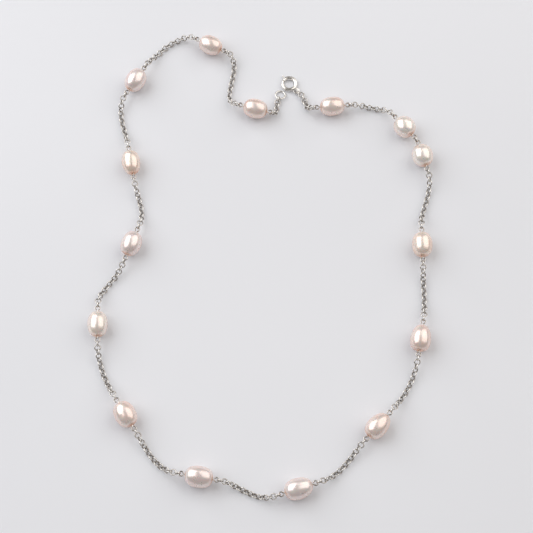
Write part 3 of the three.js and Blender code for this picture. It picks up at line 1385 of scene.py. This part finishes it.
class Necklace:
    """The whole necklace, built piece by piece in order.

    Attributes:
        PEARLS: How many pearls it has.
        PAIR: The first pearl of the close pair.
        TINT_OF: The tint of each pearl, in order.
        END_RING_LEAN: How far the end ring's chain side is lifted, in degrees, so a link fits under it.
    """

    PEARLS = 15
    PAIR = 13
    TINT_OF = (0, 0, 3, 1, 3, 2, 0, 3, 3, 0, 0, 1, 2, 2, 0)
    END_RING_LEAN = 13

    def __init__(self, effects: Effects) -> None:
        """Make the finishes.

        Args:
            effects: The shared shader groups.
        """
        self.nacre = Tints().make(effects)
        self.silver = SilverFinish("polished_silver").make(effects)
        self.chain_silver = SilverFinish("chain_silver", roughness=0.13).make(effects)
        steel = SilverFinish("spring_wire", (0.6, 0.6, 0.6, 1), (0.45, 0.44, 0.43, 1), roughness=0.28)
        self.steel = steel.make(effects)

    def fit(
        self, obj: bpy.types.Object, material: bpy.types.Material, body: str, node: str
    ) -> None:
        """Finish one piece: dress it, hang it on its body and hide the CAD node it stands for.

        Args:
            obj: The piece.
            material: Its finish.
            body: The body it rides on.
            node: The CAD node it replaces.
        """
        dress(obj, material)
        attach(obj, body)
        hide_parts(node)
        log.info("%s: %d faces on %s", obj.name, len(obj.data.polygons), body)

    def build_pearls(self) -> None:
        """Build every pearl and its pin."""
        for number in range(1, self.PEARLS + 1):
            pearl = Pearl(number)
            tint = self.nacre[self.TINT_OF[number - 1]]
            self.fit(pearl.build(), tint, f"pearl_{number:02d}", pearl.node)
            pin = EyePin(number)
            self.fit(pin.build(), self.silver, f"pin_{number:02d}", pin.node)

    def build_chain(self) -> None:
        """Build every length of chain and the single link of the close pair."""
        for number in range(1, self.PEARLS):
            here, there = Pearl(number), Pearl(number + 1)
            body = "pair_link" if number == self.PAIR else f"chain_{number:02d}"
            start = pivot_between(f"pin_{number:02d}", body)
            end = pivot_between(body, f"pin_{number + 1:02d}")
            if number == self.PAIR:
                bm = bmesh.new()
                RoundLink(around=16, sides=6).stamp(bm, basis(end - start, UP, (start + end) / 2))
                ring = finish_mesh(bm, "pair_link_ring")
                self.fit(ring, self.chain_silver, body, "pair_link")
                continue
            length = ChainLength(number, start, here.axis, end, there.axis)
            self.fit(length.build(), self.chain_silver, body, length.node)

    def build_ends(self) -> None:
        """Build the two end lengths, the end ring and the clasp."""
        clasp = SpringRing()
        ring_middle = node_middle("end_ring")
        ring_pivot = pivot_between("chain_00", "end_ring")
        away = Vector((ring_pivot.x - ring_middle.x, ring_pivot.y - ring_middle.y, 0)).normalized()
        hang = Vector((ring_pivot.x, ring_pivot.y, 1.1 * MM)) - away * 0.3 * MM
        first = ChainLength(
            0,
            hang,
            away,
            pivot_between("chain_00", "pin_01"),
            Pearl(1).axis,
            lead=0.9 * MM,
            tail=0.4 * MM,
            slack=0.0,
            seat=0.56 * MM,
        )
        self.fit(first.build(), self.chain_silver, "chain_00", first.node)
        leaning = (away + UP * math.tan(math.radians(self.END_RING_LEAN))).normalized()
        end_ring = PlainRing("end_ring", 3.8 * MM, 0.6 * MM, leaning, UP.cross(away))
        self.fit(end_ring.build(), self.silver, "end_ring", "end_ring")

        jump_pivot = pivot_between("chain_15", "jump_ring")
        ear = clasp.ear_centre
        inward = Vector((ear.x - jump_pivot.x, ear.y - jump_pivot.y, 0)).normalized()
        last = ChainLength(
            15,
            pivot_between("pin_15", "chain_15"),
            Pearl(15).axis,
            jump_pivot + inward * 0.3 * MM,
            inward,
            tail=0.8 * MM,
            end_seat=0.74 * MM,
            end_lay=LinkLay.FLAT,
        )
        self.fit(last.build(), self.chain_silver, "chain_15", last.node)
        jump = PlainRing("jump_ring", 2.4 * MM, 0.4 * MM, inward, UP, split=0.03 * MM)
        self.fit(jump.build(), self.silver, "jump_ring", "jump_ring")
        self.fit(clasp.build_body(), self.silver, "clasp", "clasp_body")
        self.fit(clasp.build_bolt(), self.silver, "bolt", "clasp_bolt")
        spring = clasp.build_spring()
        self.fit(spring, self.steel, "clasp", "bolt_spring")
        clasp.squeeze_spring(spring)


# --------------------------------------------------------------------------------------
# Studio
# --------------------------------------------------------------------------------------


@dataclass(frozen=True)
class SoftBox:
    """A large soft lamp over the table.

    Attributes:
        name: The lamp's name.
        toward: Direction from the necklace to the lamp.
        size: Its width and its length.
        power: Its power in watts.
        colour: Its colour.
        distance: How far away it stands.
    """

    name: str
    toward: tuple[float, float, float]
    size: tuple[float, float]
    power: float
    colour: tuple[float, float, float]
    distance: float = 0.8

    def place(self) -> None:
        """Put the lamp in the scene, facing the necklace."""
        data = bpy.data.lights.new(self.name, "AREA")
        data.shape = "RECTANGLE"
        data.size, data.size_y = self.size
        data.energy = self.power
        data.color = self.colour
        lamp = bpy.data.objects.new(self.name, data)
        bpy.context.scene.collection.objects.link(lamp)
        z = toward = Vector(self.toward).normalized()
        y = (Vector((0, 1, 0)) - z * z.y).normalized()
        x = y.cross(z)
        turned = Matrix((x, y, z)).transposed().to_4x4()
        lamp.matrix_world = Matrix.Translation(toward * self.distance) @ turned


@dataclass(frozen=True)
class Studio:
    """The pale table, the lamps and the camera.

    Attributes:
        lamps: The soft lamps.
        elevation: The camera's height above the horizon, in degrees.
        distance: From the camera to the point it looks at.
        target: The point it looks at.
        lens: Its focal length in millimetres on a 36 mm sensor.
    """

    lamps: tuple[SoftBox, ...] = (
        SoftBox("left_softbox", (-0.66, 0.34, 0.67), (0.82, 1.10), 5.4, (0.975, 0.985, 1.0)),
        SoftBox("right_softbox", (0.63, 0.32, 0.71), (0.95, 1.05), 4.0, (1.0, 0.97, 0.93)),
    )
    elevation: float = 70.0
    distance: float = 0.440
    target: tuple[float, float, float] = (0.0008, -0.0033, 0.0)
    lens: float = 94.34

    def build(self, effects: Effects) -> None:
        """Set up everything round the necklace.

        Args:
            effects: The shared shader groups.
        """
        for lamp in self.lamps:
            lamp.place()
        self.lay_table(effects)
        self.fill_room()
        self.set_camera()

    def lay_table(self, effects: Effects) -> None:
        """Lay the pale table under the necklace.

        Args:
            effects: The shared shader groups.
        """
        bm = bmesh.new()
        bmesh.ops.create_grid(bm, x_segments=1, y_segments=1, size=1.5)
        table = finish_mesh(bm, "table", smooth=False)
        table.data.materials.append(TableFinish().make(effects))

    def fill_room(self) -> None:
        """Give the room its dim warm fill."""
        world = bpy.data.worlds.new("room")
        world.use_nodes = True
        fill = world.node_tree.nodes["Background"]
        fill.inputs["Color"].default_value = (0.50, 0.48, 0.46, 1.0)
        fill.inputs["Strength"].default_value = 0.52
        bpy.context.scene.world = world
        bpy.context.scene.view_settings.view_transform = "Standard"

    def set_camera(self) -> None:
        """Set the camera above and in front of the necklace."""
        data = bpy.data.cameras.new("camera")
        data.lens = self.lens
        data.sensor_width = 36.0
        data.clip_start = 0.01
        camera = bpy.data.objects.new("camera", data)
        bpy.context.scene.collection.objects.link(camera)
        tilt = math.radians(self.elevation)
        target = Vector(self.target)
        camera.location = target + Vector((0, -math.cos(tilt), math.sin(tilt))) * self.distance
        camera.rotation_euler = (math.pi / 2 - tilt, 0, 0)
        bpy.context.scene.camera = camera


def main() -> None:
    """Build the studio and the necklace, in order."""
    logging.basicConfig(level=logging.INFO, format="%(name)s: %(message)s")
    effects = Effects()
    Studio().build(effects)
    necklace = Necklace(effects)
    necklace.build_pearls()
    necklace.build_chain()
    necklace.build_ends()


if __name__ == "__main__":
    main()
